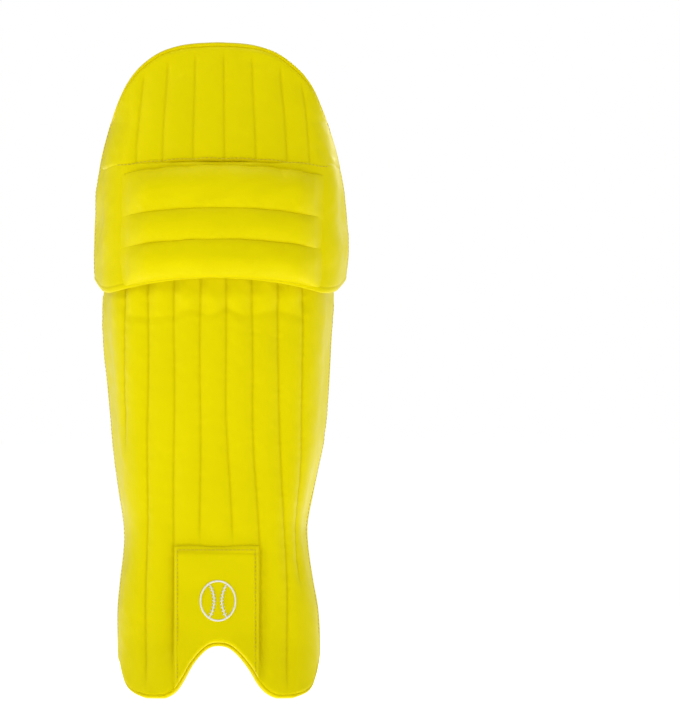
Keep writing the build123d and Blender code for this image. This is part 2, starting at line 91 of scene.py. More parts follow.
class Shell:
    """The curved surface that every layer follows: arc length, height and depth to a point."""

    def __init__(self, rows, proud):
        self.z = np.arange(-20.0, DOME_TOP + 1, 1.0)
        self.y = -FRONT + hermite(SPINE_ROWS, self.z, 1) - proud
        self.start, self.stop, self.half = {}, {}, {}
        level = np.minimum(self.z, LAST)
        for sign, column in ((-1, 1), (1, 2)):
            width, depth = hermite(rows, level, column), hermite(rows, level, 3)
            low, high = np.full_like(width, 0.02), np.full_like(width, 0.60)
            for _ in range(40):
                start = (low + high) / 2
                wing = (depth - FRONT_RADIUS * (1 - np.cos(start))
                        - CORNER_RADIUS * (np.cos(start) - math.cos(WING_ANGLE))) / math.sin(WING_ANGLE)
                reach = (FRONT_RADIUS * np.sin(start) + wing * math.cos(WING_ANGLE)
                         + CORNER_RADIUS * (math.sin(WING_ANGLE) - np.sin(start)))
                short = reach < width
                low, high = np.where(short, start, low), np.where(short, high, start)
            self.start[sign] = start
            squared = [(row[0], row[column] ** 2) for row in rows]
            self.half[sign] = np.sqrt(np.maximum(hermite(squared, self.z, 1), 1.0))
        for sign in (-1, 1):
            self.stop[sign] = np.abs(self.along(sign * self.half[sign], self.z))

    def at(self, table, s, z):
        return np.where(s >= 0, np.interp(z, self.z, table[1]), np.interp(z, self.z, table[-1]))

    def along(self, x, z):
        """Arc length of a place given by its distance from the centre line."""
        x = np.asarray(x, float)
        start, a = self.at(self.start, x, z), np.abs(x)
        flat = FRONT_RADIUS * np.sin(start)
        corner = flat + CORNER_RADIUS * (math.sin(WING_ANGLE) - np.sin(start))
        front = FRONT_RADIUS * np.arcsin(np.clip(a / FRONT_RADIUS, 0, 1))
        turned = np.arcsin(np.clip(np.sin(start) + (a - flat) / CORNER_RADIUS, 0, 1))
        bent = FRONT_RADIUS * start + CORNER_RADIUS * (turned - start)
        wing = (FRONT_RADIUS * start + CORNER_RADIUS * (WING_ANGLE - start)
                + (a - corner) / math.cos(WING_ANGLE))
        return np.sign(x) * np.where(a <= flat, front, np.where(a <= corner, bent, wing))

    def end(self, sign, z):
        return sign * np.interp(z, self.z, self.stop[sign])

    def point(self, s, z, depth):
        s, z, depth = np.broadcast_arrays(np.asarray(s, float), np.asarray(z, float), np.asarray(depth, float))
        start, a = self.at(self.start, s, z), np.abs(s)
        flat = FRONT_RADIUS * start
        bend = flat + CORNER_RADIUS * (WING_ANGLE - start)
        angle = np.where(a <= flat, a / FRONT_RADIUS, np.minimum(start + (a - flat) / CORNER_RADIUS, WING_ANGLE))
        first = np.minimum(angle, start)
        x, y = FRONT_RADIUS * np.sin(first), FRONT_RADIUS * (1 - np.cos(first))
        x = x + CORNER_RADIUS * (np.sin(angle) - np.sin(first))
        y = y + CORNER_RADIUS * (np.cos(first) - np.cos(angle))
        past = np.maximum(a - bend, 0)
        x, y = x + past * math.cos(WING_ANGLE), y + past * math.sin(WING_ANGLE)
        side = np.where(s >= 0, 1.0, -1.0)
        return np.stack([side * (x - depth * np.sin(angle)),
                         np.interp(z, self.z, self.y) + y + depth * np.cos(angle), z], -1)


SHIN = Shell(SHIN_ROWS, 0)
KNEE = Shell(KNEE_ROWS, KNEE_PROUD)


def ease(a, b, t):
    t = np.clip((np.asarray(t, float) - a) / (b - a), 0, 1)
    return t * t * (3 - 2 * t)


def ripple(a, b, seed, count=5, low=0.02, high=0.07):
    """Smooth unevenness of about unit size over a surface, the same on every run."""
    rng = np.random.default_rng(seed)
    total = 0
    for _ in range(count):
        angle, rate, shift = rng.uniform(0, math.pi), rng.uniform(low, high), rng.uniform(0, 6.28)
        total = total + np.sin((a * math.cos(angle) + b * math.sin(angle)) * rate * 6.28 + shift)
    return total / math.sqrt(count)


# ---- meshes ----
def make(name, points, faces, material, body, slot, replaces=(), uv=None, painted_shade=None, shade_flat=False):
    mesh = bpy.data.meshes.new(name)
    mesh.from_pydata((np.asarray(points) * MM).tolist(), [], faces)
    piece = bpy.data.objects.new(name, mesh)
    bpy.context.scene.collection.objects.link(piece)
    mesh.materials.append(material)
    mesh.polygons.foreach_set("use_smooth", [not shade_flat] * len(mesh.polygons))
    layer = mesh.uv_layers.new(name="UVMap")
    loops = np.empty(len(mesh.loops), int)
    mesh.loops.foreach_get("vertex_index", loops)
    if uv is None:
        uv = np.asarray(points)[:, [0, 2]]
    layer.data.foreach_set("uv", (np.asarray(uv) * MM)[loops].ravel())
    # per-point painted shade for the seams, which the vinyl reads to darken its colour
    if painted_shade is not None:
        mesh.attributes.new("seam_shade", "FLOAT", "POINT").data.foreach_set("value", np.asarray(painted_shade, float))
    mesh.validate()
    place(piece, body, slot, replaces)
    return piece


def place(piece, body, slot, replaces=()):
    if isinstance(body, str):
        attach(piece, body)
    elif body:
        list(body)
        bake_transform(piece)
    if replaces:
        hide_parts(*replaces)


def grid_faces(rows, columns, first=0, flip=False):
    faces = []
    for i in range(rows - 1):
        for j in range(columns - 1):
            a = first + i * columns + j
            quad = (a, a + 1, a + columns + 1, a + columns)
            faces.append(quad[::-1] if flip else quad)
    return faces


def rim(rows, columns):
    """Vertex numbers round the edge of a grid, anticlockwise from its first corner."""
    return ([j for j in range(columns)] + [i * columns + columns - 1 for i in range(1, rows)]
            + [(rows - 1) * columns + j for j in range(columns - 2, -1, -1)]
            + [i * columns for i in range(rows - 2, 0, -1)])


def solid(front, back):
    """One closed skin from two matching grids of points: front faces out, back faces in."""
    rows, columns = front.shape[:2]
    count = rows * columns
    points = np.concatenate([front.reshape(-1, 3), back.reshape(-1, 3)])
    faces = grid_faces(rows, columns) + grid_faces(rows, columns, count, True)
    edge = rim(rows, columns)
    for a, b in zip(edge, edge[1:] + edge[:1]):
        faces.append((b, a, a + count, b + count))
    return points, faces


def slab(name, shell, s, z, near, far, material, body, slot, replaces=(), painted_shade=None, round_edge=0.0,
         thin=0.04):
    """A padded layer: grids of arc length and height, and depths of its outer and inner side."""
    s, z, near, far = np.broadcast_arrays(s, z, near, far)
    front, back = shell.point(s, z, near), shell.point(s, z, far)
    if round_edge:
        u = np.cumsum(np.linalg.norm(np.diff(front, axis=1, prepend=front[:, :1]), axis=2), axis=1)
        v = np.cumsum(np.linalg.norm(np.diff(front, axis=0, prepend=front[:1]), axis=2), axis=0)
        gap = np.minimum(np.minimum(u, u[:, -1:] - u), np.minimum(v, v[-1:] - v))
        swell = np.sqrt(1 - (1 - np.clip(gap / round_edge, 0, 1)) ** 2) * (1 - thin) + thin
        middle, half = (near + far) / 2, (far - near) / 2
        front, back = shell.point(s, z, middle - half * swell), shell.point(s, z, middle + half * swell)
    points, faces = solid(front, back)
    flat = np.stack([s, z], -1).reshape(-1, 2)
    # painted seam shade on the outer skin only; the inner skin gets none
    shade = None if painted_shade is None else np.concatenate([np.broadcast_to(painted_shade, s.shape).ravel(), np.zeros(s.size)])
    return make(name, points, faces, material, body, slot, replaces, np.concatenate([flat, flat]), shade)


def lattice(columns, rows):
    """Even u and v from 0 to 1 as grids, v upwards along the first index."""
    return np.meshgrid(np.linspace(0, 1, columns), np.linspace(0, 1, rows))


def tube(name, path, profile, material, body, slot, replaces=(), closed=False, up=(0, 0, 1)):
    """Sweeps a closed profile (across, up) along a path of points."""
    path, profile = np.asarray(path, float), np.asarray(profile, float)
    count, sides = len(path), len(profile)
    if closed:
        along = np.roll(path, -1, 0) - np.roll(path, 1, 0)
    else:
        along = np.gradient(path, axis=0)
    along /= np.linalg.norm(along, axis=1, keepdims=True)
    up = np.broadcast_to(np.asarray(up, float), along.shape)
    across = np.cross(along, up)
    across /= np.maximum(np.linalg.norm(across, axis=1, keepdims=True), 1e-9)
    upward = np.cross(across, along)
    points = (path[:, None] + profile[None, :, :1] * across[:, None] + profile[None, :, 1:] * upward[:, None])
    length = np.concatenate([[0], np.cumsum(np.linalg.norm(np.diff(path, axis=0), axis=1))])
    around = np.concatenate([[0], np.cumsum(np.linalg.norm(np.diff(profile, axis=0), axis=1))])
    faces = []
    for i in range(count if closed else count - 1):
        k = (i + 1) % count
        for j in range(sides):
            m = (j + 1) % sides
            faces.append((i * sides + j, i * sides + m, k * sides + m, k * sides + j))
    if not closed:
        faces += [tuple(range(sides))[::-1], tuple((count - 1) * sides + j for j in range(sides))]
    uv = np.stack(np.meshgrid(length, around, indexing="ij"), -1).reshape(-1, 2)
    return make(name, points.reshape(-1, 3), faces, material, body, slot, replaces, uv)


def circle(radius, sides=10, squash=1.0):
    return [(radius * math.cos(a), squash * radius * math.sin(a)) for a in np.arange(sides) * 2 * math.pi / sides]


def rounded(width, height, radius, corner=4):
    """Rounded rectangle as a profile."""
    points = []
    for k, (x, y) in enumerate(((1, 1), (-1, 1), (-1, -1), (1, -1))):
        for j in range(corner + 1):
            a = math.pi / 2 * (k + j / corner)
            points.append((x * (width / 2 - radius) + radius * math.cos(a), y * (height / 2 - radius) + radius * math.sin(a)))
    return points


# ---- materials ----
class Shader:
    """A node material with short helpers."""

    def __init__(self, name, **principled):
        self.material = bpy.data.materials.new(name)
        self.material.use_nodes = True
        self.tree = self.material.node_tree
        self.bsdf = self.tree.nodes["Principled BSDF"]
        for key, value in principled.items():
            self.bsdf.inputs[key.replace("_", " ")].default_value = value

    def node(self, kind, inputs=None, **settings):
        node = self.tree.nodes.new("ShaderNode" + kind)
        for key, value in settings.items():
            setattr(node, key, value)
        for key, value in (inputs or {}).items():
            if isinstance(value, bpy.types.NodeSocket):
                self.tree.links.new(value, node.inputs[key])
            else:
                node.inputs[key].default_value = value
        return node

    def math(self, operation, a, b=0.0):
        return self.node("Math", {0: a, 1: b}, operation=operation).outputs[0]

    def mix(self, factor, a, b, blend="MIX"):
        return self.node("Mix", {0: factor, 6: a, 7: b}, data_type="RGBA", blend_type=blend).outputs[2]

    def ramp(self, value, low, high, to_low=0.0, to_high=1.0):
        return self.node("MapRange", {0: value, 1: low, 2: high, 3: to_low, 4: to_high}).outputs[0]

    def noise(self, scale, detail=3.0, vector=None):
        inputs = {"Scale": scale, "Detail": detail}
        inputs["Vector"] = vector or self.node("TexCoord").outputs["Object"]
        return self.node("TexNoise", inputs).outputs["Fac"]

    def uv(self):
        return self.node("SeparateXYZ", {0: self.node("TexCoord").outputs["UV"]}).outputs

    def across_and_up(self):
        """Lengths across and up the pad, which follow the cloth round its sides."""
        x, y, z = self.node("SeparateXYZ", {0: self.node("TexCoord").outputs["Object"]}).outputs
        return self.math("ADD", x, self.math("MULTIPLY", y, 0.8)), z

    def wave(self, value, period, phase=0.0):
        """Sine of a length, from 0 to 1."""
        turned = self.math("SINE", self.math("MULTIPLY_ADD", value, 2 * math.pi / period))
        return self.math("MULTIPLY_ADD", turned, 0.5)

    def link(self, value, socket):
        self.tree.links.new(value, self.bsdf.inputs[socket])

    def bump(self, *layers):
        """layers are (height, distance in metres, strength)."""
        normal = None
        for height, distance, strength in layers:
            inputs = {"Height": height, "Distance": distance, "Strength": strength}
            if normal is not None:
                inputs["Normal"] = normal
            normal = self.node("Bump", inputs).outputs[0]
        self.link(normal, "Normal")
        return self.material


def srgb(r, g, b):
    return tuple((c / 255 / 12.92) if c <= 10 else ((c / 255 + 0.055) / 1.055) ** 2.4 for c in (r, g, b)) + (1.0,)


def sine(shader, value, period):
    turned = shader.math("SINE", shader.math("MULTIPLY", value, 2 * math.pi / period))
    return shader.math("ADD", shader.math("MULTIPLY", turned, 0.5), 0.5)


def vinyl(name, colour, seam_shade_colour, roughness=0.42):
    """Coated cloth with a fine pebble grain and a little uneven in colour, with painted shade darkening its seams."""
    s = Shader(name, Roughness=roughness, Specular_IOR_Level=0.32)
    s.bsdf.inputs["Specular Tint"].default_value = tuple(min(c * 1.15, 1) for c in colour[:3]) + (1.0,)
    pebble = s.node("TexVoronoi", {"Scale": 900.0, "Vector": s.node("TexCoord").outputs["Object"]},
                    feature="SMOOTH_F1").outputs["Distance"]
    cloud, fine, scuff = s.noise(14.0), s.noise(420.0, 4.0), s.noise(55.0, 6.0)
    seam_shade = s.node("Attribute", attribute_name="seam_shade").outputs["Fac"]
    base = s.mix(s.ramp(cloud, 0.3, 0.7), colour, tuple(c * 0.955 for c in colour[:3]) + (1.0,))
    worn = s.mix(s.ramp(scuff, 0.62, 0.8, 0.0, 0.25), base, tuple(min(c * 1.06 + 0.01, 1) for c in colour[:3]) + (1.0,))
    # painted shade: where the mesh marks a seam groove, the colour turns towards the darker seam colour
    s.link(s.mix(seam_shade, worn, seam_shade_colour), "Base Color")
    s.link(s.ramp(scuff, 0.3, 0.7, roughness - 0.05, roughness + 0.09), "Roughness")
    return s.bump((s.noise(60.0, 4.0), 0.0012, 0.25), (pebble, 0.00035, 0.35), (fine, 0.0002, 0.3))


def cloth(name, colour, shadow, pitch, sheen=0.35):
    """Smooth brushed lining with a fine plain weave."""
    s = Shader(name, Roughness=0.82, Sheen_Weight=sheen, Sheen_Roughness=0.5)
    s.bsdf.inputs["Specular IOR Level"].default_value = 0.25
    u, v = s.across_and_up()
    weave = s.math("MULTIPLY", sine(s, u, pitch), sine(s, v, pitch))
    cloud, fluff = s.noise(22.0, 4.0), s.noise(700.0, 2.0)
    tone = s.math("MULTIPLY", s.ramp(cloud, 0.3, 0.75), 0.55)
    s.link(s.mix(s.math("ADD", tone, s.math("MULTIPLY", weave, 0.22)), colour, shadow), "Base Color")
    return s.bump((cloud, 0.0015, 0.25), (weave, 0.0003, 0.4), (fluff, 0.0002, 0.3))


def air_mesh(name, colour, hole, pitch=0.0044):
    """Spacer mesh: rows of small diamond openings in a knitted face."""
    s = Shader(name, Roughness=0.8, Sheen_Weight=0.25, Sheen_Roughness=0.5)
    s.bsdf.inputs["Specular IOR Level"].default_value = 0.25
    u, v = s.across_and_up()
    a = sine(s, s.math("ADD", u, s.math("MULTIPLY", v, 0.62)), pitch)
    b = sine(s, s.math("SUBTRACT", u, s.math("MULTIPLY", v, 0.62)), pitch)
    net = s.math("MULTIPLY", a, b)
    opening = s.ramp(net, 0.30, 0.62)
    yarn = sine(s, v, 0.0011)
    cloud = s.noise(25.0, 4.0)
    lit = s.mix(s.ramp(cloud, 0.3, 0.7, 0.0, 0.35), colour, hole)
    # the openings are painted in the darker hole colour: painted shade inside the holes
    s.link(s.mix(s.math("MULTIPLY", opening, 0.62), lit, hole), "Base Color")
    face = s.math("SUBTRACT", 1.0, opening)
    return s.bump((cloud, 0.0015, 0.2), (face, 0.0009, 0.8), (yarn, 0.0002, 0.3))


def webbing(name, colour, shadow, pitch=0.0017):
    """Woven strap: fine ribs across and a twill along."""
    s = Shader(name, Roughness=0.7, Sheen_Weight=0.2, Sheen_Roughness=0.4)
    s.bsdf.inputs["Specular IOR Level"].default_value = 0.3
    u, v, _ = s.uv()
    rib = sine(s, v, pitch)
    twill = sine(s, s.math("ADD", u, s.math("MULTIPLY", v, 1.0)), pitch * 0.8)
    thread = s.math("MULTIPLY", rib, twill)
    cloud = s.noise(30.0, 4.0)
    tone = s.math("ADD", s.math("MULTIPLY", thread, 0.4), s.ramp(cloud, 0.3, 0.7, 0.0, 0.3))
    s.link(s.mix(tone, colour, shadow), "Base Color")
    return s.bump((cloud, 0.001, 0.15), (thread, 0.0005, 0.6))


def hook_tape(name, colour, shadow):
    """Moulded hook tape: rows of fine dots."""
    s = Shader(name, Roughness=0.6)
    dots = s.node("TexVoronoi", {"Scale": 700.0, "Vector": s.node("TexCoord").outputs["UV"]}).outputs["Distance"]
    cloud = s.noise(40.0, 3.0)
    s.link(s.mix(s.math("ADD", s.math("MULTIPLY", dots, 0.4), s.ramp(cloud, 0.3, 0.7, 0.0, 0.25)), colour, shadow),
           "Base Color")
    return s.bump((dots, 0.0005, 0.5))


def moulded(name, colour, shadow):
    """Injection-moulded plastic with faint flow marks."""
    s = Shader(name, Roughness=0.34)
    flow, fine = s.noise(60.0, 3.0), s.noise(900.0, 2.0)
    s.link(s.mix(s.ramp(flow, 0.35, 0.7, 0.0, 0.5), colour, shadow), "Base Color")
    s.link(s.ramp(flow, 0.3, 0.7, 0.28, 0.42), "Roughness")
    return s.bump((fine, 0.0001, 0.3), (flow, 0.0006, 0.1))


def thread(name, colour):
    """Twisted sewing thread."""
    s = Shader(name, Roughness=0.55, Sheen_Weight=0.2)
    u, v, _ = s.uv()
    twist = sine(s, s.math("ADD", u, v), 0.0006)
    s.link(s.mix(s.math("MULTIPLY", twist, 0.5), colour, tuple(c * 0.72 for c in colour[:3]) + (1.0,)), "Base Color")
    return s.bump((twist, 0.0002, 0.5))


YELLOW = vinyl("yellow_vinyl", srgb(232, 218, 4), srgb(205, 188, 2))
EDGE_YELLOW = vinyl("binding_vinyl", srgb(232, 215, 5), srgb(190, 170, 2), 0.36)
SMOOTH = cloth("smooth_lining_cloth", srgb(236, 228, 240), srgb(212, 200, 218), 0.0011)
HAT_CLOTH = cloth("hat_lining_cloth", srgb(238, 235, 238), srgb(220, 214, 222), 0.0011)
INNER = cloth("wing_lining_cloth", srgb(202, 188, 212), srgb(176, 160, 190), 0.0016)
MESH = air_mesh("spacer_mesh", srgb(228, 217, 234), srgb(176, 160, 186))
TAIL = webbing("tail_webbing", srgb(224, 222, 228), srgb(192, 190, 198))
BASE = webbing("base_webbing", srgb(228, 216, 234), srgb(200, 186, 208))
HOOKS = hook_tape("hook_tape", srgb(232, 224, 240), srgb(200, 190, 212))
RING = moulded("ring_plastic", srgb(226, 218, 232), srgb(204, 194, 214))
WHITE = vinyl("mark_vinyl", srgb(240, 240, 236), srgb(200, 200, 196))
PALE_THREAD = thread("pale_thread", srgb(214, 204, 220))
YELLOW_THREAD = thread("yellow_thread", srgb(206, 184, 10))


# ---- the outer shell of the shin ----
FOOT_POINTS = [
    (-150, 62), (-112, 40), (-103, 14), (-85, 2.5), (-66, 0.5), (-57, 2.5), (-48, 8.5), (-39.6, 21), (-31, 36),
    (-20, 49.5), (-10, 57), (0, 59), (12, 57), (24.5, 47.5), (38.5, 30), (46.8, 16), (58, 5), (72, 0.5),
    (90, 3), (106, 13), (114, 40), (150, 62),
]


def foot(x):
    """Height of the pad's lower edge at a distance from the centre line: two lobes and an arched notch."""
    return np.maximum(hermite(FOOT_POINTS, np.asarray(x, float), 1), 0.3)


def foot_height(shell, s_of, lift=0.0):
    """Where a column, whose arc length depends on height, meets the lower edge."""
    z = 20.0
    for _ in range(60):
        z = 0.85 * z + 0.15 * (foot(np.clip(shell.point(s_of(z), z, 0)[..., 0], -112, 114)) + lift)
    return z


def lobe_columns(count):
    """u values that crowd where the lower edge is steep."""
    u = np.linspace(-1, 1, count)
    return u + 0.055 * np.sin(2 * math.pi * u)


def edge_of(x, margin=0.0):
    return foot(x) + margin


def shin_relief(s, z):
    """How far the shin's skin stands out over its ribs, and how much painted shade each place gets for lying deep in a
    seam.
    """
    spread = 1 - ease(120, 345, z)
    drift = [-2.6, -2.4, -0.8, 0.0, 8.5, 9.0, 10.0, 0.0]
    seams = [SHIN.along(x + d * spread + 0.5 * np.sin(z / 31 + k * 1.7), z if 0 < k < 7 else np.maximum(z, 345))
             for k, (x, d) in enumerate(zip(RIB_SEAMS, drift))]
    low_end = [274, 10, 26, 168, 168, 26, 4, 118]
    height, seam_shade = np.zeros_like(s), np.zeros_like(s)
    strength = []
    for k, seam in enumerate(seams):
        on = ease(low_end[k] - 6, low_end[k] + 34, z) * (1 - ease(470, 477, z))
        gap = np.abs(s - seam)
        cut = np.exp(-(gap / 1.5) ** 2)
        valley = np.exp(-(gap / 7.5) ** 1.6)
        height -= on * (2.4 * valley * (1 + 0.9 * ease(426, 440, z)) + 0.7 * cut)
        # painted shade down each seam
        seam_shade = np.maximum(seam_shade, 0.75 * on * np.exp(-(gap / 1.3) ** 2))
        pucker = np.exp(-(gap / 6.0) ** 2) * np.sin(z / 2.3 + 2.2 * np.sin(z / 9.0 + k) + k * 2.1)
        height += on * 0.22 * pucker
        strength.append(on)
    # a soft groove across the ribs just below the knee, with puffed ends above it and a faint painted shade in the
    # groove
    across = 429 + 3.0 * np.sin(s / 9.0 + 1.2 * np.sin(s / 23.0)) - 0.0006 * s * s
    reach = 1 - ease(96, 112, np.abs(s + 6))
    height -= reach * 1.2 * np.exp(-((z - across) / 5.5) ** 2)
    seam_shade = np.maximum(seam_shade, 0.05 * reach * np.exp(-((z - across) / 2.4) ** 2))
    height += reach * 1.6 * np.exp(-((z - 446) / 11.0) ** 2)
    height += 0.55 * ripple(s, z, 11, 6, 0.004, 0.016) + 0.16 * ripple(s, z, 12, 7, 0.03, 0.08)
    return height, seam_shade


def wing_top(shell_point):
    """The shin wings' upper corners fall away so that the knee section can lean back."""
    return SHIN_TOP - 1 - np.maximum(shell_point[..., 1] + 62, 0) * 27.0 / 92.0


def shin_inside(s, z):
    """Depth of the shin's padding: thick behind the ribs, thin in the wings."""
    return 22.0 - 10.0 * ease(86, 99, np.abs(s))


def knee_flare(z):
    """The knee's lower lip stands off the shin a little, so that it clears it as it leans."""
    return 1.5 * (1 - ease(450, 486, z))


def knee_inside(s, z):
    """Depth of the knee's padding: a thin skirt below, thick behind the rolls, thinner in the wings."""
    return 2.2 + (17.8 - 8.0 * ease(90, 106, np.abs(s))) * ease(487, 496, z) - knee_flare(z)


def hat_inside(s, z, high):
    return 20.0 - 7.5 * ease(90, 118, np.abs(s)) - 4.0 * ease(-22, -4, z - high)


def shin_shell():
    columns, rows = ((320, 270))
    u = lobe_columns(columns)[None, :]
    v = np.linspace(0, 1, rows)[:, None] ** 1.15

    def s_of(z):
        return np.where(u < 0, -SHIN.end(-1, z), SHIN.end(1, z)) * u
    low = foot_height(SHIN, s_of)
    high = wing_top(SHIN.point(s_of(SHIN_TOP - 12 + 0 * u), SHIN_TOP - 12, 7))
    z = low + (high - low) * v
    s = s_of(z)
    height, seam_shade = shin_relief(s, z)
    piece = slab("shin_shell", SHIN, s, z, -height, shin_inside(s, z), YELLOW, "shin", "cover",
                 ["shin_cover", "shin_backing_foam", "wing_foam_left", "wing_foam_right"]
                 + [f"shin_cane_{k}" for k in range(1, 8)], seam_shade, 6.5)


def normals(shell, s, z):
    inward = shell.point(s, z, 1.0) - shell.point(s, z, 0.0)
    return inward / np.linalg.norm(inward, axis=-1, keepdims=True)


def edging(name, shell, s, z, thick, proud, depth, body, slot, replaces):
    """Rolled binding along the shell's edge: wide across the edge's thickness, standing a little proud."""
    out = normals(shell, s, z)
    path = shell.point(s, z, depth)
    profile = [(x, y) for x, y in circle(1.0, 14)]
    profile = [(proud * x, math.copysign(abs(y) ** 0.8, y) * thick / 2) for x, y in profile]
    piece = tube(name, path, profile, EDGE_YELLOW, body, slot, replaces, up=out)
    return piece


def shin_binding():
    rise_left = np.linspace(447, 46, 110)
    rise_right = rise_left[::-1]
    x = np.concatenate([np.linspace(-112.5, -100, 14), np.linspace(-98, 98, 120), np.linspace(100, 113.5, 14)])
    z = foot(x) + 0.8
    s = SHIN.along(x, z)
    s_path = np.concatenate([SHIN.end(-1, rise_left) + 1.0, [SHIN.end(-1, 40.0) + 3],
                             s[3:-3], [SHIN.end(1, 40.0) - 3], SHIN.end(1, rise_right) - 1.0])
    z_path = np.concatenate([rise_left, [foot(-113.0) + 1.5], z[3:-3], [foot(114.0) + 1.5], rise_right])
    points = np.stack([s_path, z_path], 1)
    for _ in range(3):
        points[1:-1] = (points[:-2] + 2 * points[1:-1] + points[2:]) / 4
    step = np.concatenate([[0], np.cumsum(np.linalg.norm(np.diff(points, axis=0), axis=1))])
    even = np.linspace(0, step[-1], 420)
    s_even, z_even = np.interp(even, step, points[:, 0]), np.interp(even, step, points[:, 1])
    z_even = np.maximum(z_even, 2.2)
    edging("shin_edge_binding", SHIN, s_even, z_even, 13.0, 2.6, 7.0, "shin", "binding", ["shin_binding"])


def instep_patch():
    columns, rows = ((110, 130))
    u, v = lattice(columns, rows)
    x = -48.5 + 94.0 * u
    low = foot(x) + 2.5
    z = low + (169 + 0.8 * np.sin(u * 9) - low) * v
    s = SHIN.along(x, z)
    puff = 5.6 + 0.5 * ripple(s, z, 31, 5, 0.008, 0.03) - 0.9 * ease(158, 169, z)
    fold = 0.7 * np.exp(-((z - 162 + 0.03 * x) / 2.0) ** 2)
    edge = np.minimum(np.minimum(s - SHIN.along(-48.5, z), SHIN.along(45.5, z) - s), 169 - z)
    groove = np.exp(-((edge - 4.5) / 0.9) ** 2)
    # the groove inside the patch's edge and the fold below its top are painted a little darker: painted shade
    piece = slab("instep_patch", SHIN, s, z, -puff + fold + 0.45 * groove, 3.4, YELLOW, "shin", "cover",
                 ["instep_panel", "instep_foam"], 0.3 * groove + 0.3 * fold, 6.0)


def mark():
    """A plain ball-seam mark in place of the maker's crest: a ring, two curved seams and their stitches."""
    lines = []
    turn = np.linspace(0, 2 * math.pi, 61)[:-1]
    lines.append((19.0 * np.cos(turn), 22.0 * np.sin(turn), True, 1.0))
    rise = np.linspace(-1, 1, 24)
    for side in (-1, 1):
        x = side * (4.2 + 5.0 * rise**2)
        lines.append((x, 18.2 * rise, False, 0.8))
        for k in np.linspace(-0.8, 0.8, 9):
            reach = np.linspace(-2.0, 2.0, 4)
            lines.append((side * (4.2 + 5.0 * k * k) + reach, 18.2 * k + side * reach * 0.35, False, 0.5))
    points, faces = [], []
    for x, z, closed, width in lines:
        z = z + 108.0
        s = SHIN.along(x, z)
        path = SHIN.point(s, z, -6.3)
        out = -normals(SHIN, s, z)
        along = (np.roll(path, -1, 0) - np.roll(path, 1, 0)) if closed else np.gradient(path, axis=0)
        along /= np.linalg.norm(along, axis=1, keepdims=True)
        across = np.cross(along, out)
        sides = 6
        ring = [path + width * math.cos(a) * across + 0.9 * math.sin(a) * out
                for a in np.arange(sides) * 2 * math.pi / sides]
        first, count = len(points), len(path)
        points += np.stack(ring, 1).reshape(-1, 3).tolist()
        for i in range(count if closed else count - 1):
            k = (i + 1) % count
            for j in range(sides):
                m = (j + 1) % sides
                faces.append((first + i * sides + j, first + i * sides + m, first + k * sides + m, first + k * sides + j))
        if not closed:
            faces += [tuple(first + j for j in range(sides))[::-1],
                      tuple(first + (count - 1) * sides + j for j in range(sides))]
    make("instep_mark", points, faces, WHITE, "shin", "mark", ["badge"])


# ---- the knee section ----
def skirt_low(x):
    """Lower edge of the knee's cover: high behind the rolls, low in the side skirts."""
    a = np.abs(x + 2)
    return np.maximum(466.5 - 14.5 * (a / 112) ** 2, 450)


def knee_relief(s, z):
    return 0.8 * ripple(s, z, 41, 6, 0.005, 0.02) + 0.15 * ripple(s, z, 42, 6, 0.03, 0.08)


def knee_shell():
    columns, rows = ((300, 120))
    u, v = lattice(columns, rows)
    u = 2 * u - 1

    def s_of(z):
        return np.where(u < 0, -KNEE.end(-1, z), KNEE.end(1, z)) * u
    low = skirt_low(KNEE.point(s_of(460.0), 460.0, 0)[..., 0]) + 15 * np.clip((np.abs(u) - 0.64) / 0.36, 0, 1) ** 1.8
    z = low + (597 - low) * v
    s = s_of(z)
    wave = knee_relief(s, z)
    hem = np.exp(-((z - low - 6) / 0.9) ** 2) * ease(95, 110, np.abs(s))
    # the hem line's groove gets a little painted shade
    piece = slab("knee_shell", KNEE, s, z, -wave * ease(450, 500, z) - knee_flare(z) + 0.5 * hem, knee_inside(s, z), YELLOW, "knee", "cover",
                 ["knee_cover", "knee_shield", "knee_foam", "knee_wing_foam"], 0.5 * hem, 5.0)


def knee_rolls():
    columns, rows = ((220, 52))
    for number, (low, high) in enumerate(zip(ROLL_EDGES, ROLL_EDGES[1:]), 1):
        u, v = lattice(columns, rows)
        s = -120 + 250 * u
        reach = (s - 5) / 125
        drop = ROLL_DROP * (s / 125) ** 2
        top, foot_line = high - drop + (0.8 if number < 3 else 0.0), low - drop - (0.8 if number > 1 else 0.0)
        if number == 3:
            top = top + 1.2 * np.abs(np.sin(s / 11.0))
        z = foot_line + (top - foot_line) * v
        t = np.abs(2 * v - 1)
        floor_low, floor_high = (0.15, 0.6) if number == 1 else (0.6, 0.6) if number == 2 else (0.6, 0.1)
        ground = np.where(v < 0.5, floor_low, floor_high)
        swell = ground + (1 - ground) * (1 - t**2.0) ** 0.62
        split = 1 - 0.17 * np.exp(-((s - 2) / 26.0) ** 2)
        ends = 1 - ease(0.62, 1.0, np.abs(reach))
        bulge = {1: 19.0, 2: 18.0, 3: 18.0}[number] * split * ends * swell
        bulge = bulge + swell * (0.55 * ripple(s, z * 1.5, 50 + number, 6, 0.008, 0.03)
                                 + 0.25 * ripple(s, z, 55 + number, 6, 0.04, 0.09) * t)
        seam = np.clip((t - 0.93) / 0.07, 0, 1) ** 2 * ends
        pucker = 0.9 * np.sin(s / 1.9 + 1.5 * np.sin(s / 13.0)) * np.clip((t - 0.55) / 0.3, 0, 1) * (1 - t)
        # painted shade along each roll's upper and lower seam, fading towards the roll's ends
        piece = slab(f"knee_roll_{number}", KNEE, s, z, 0.9 - (2.1 + bulge + pucker * ends) * (1 - ease(0.8, 1.0, np.abs(reach))), 3.0, YELLOW, "knee", "cover",
                     [f"knee_roll_cover_{number}", f"knee_roll_core_{number}"], 0.35 * seam)


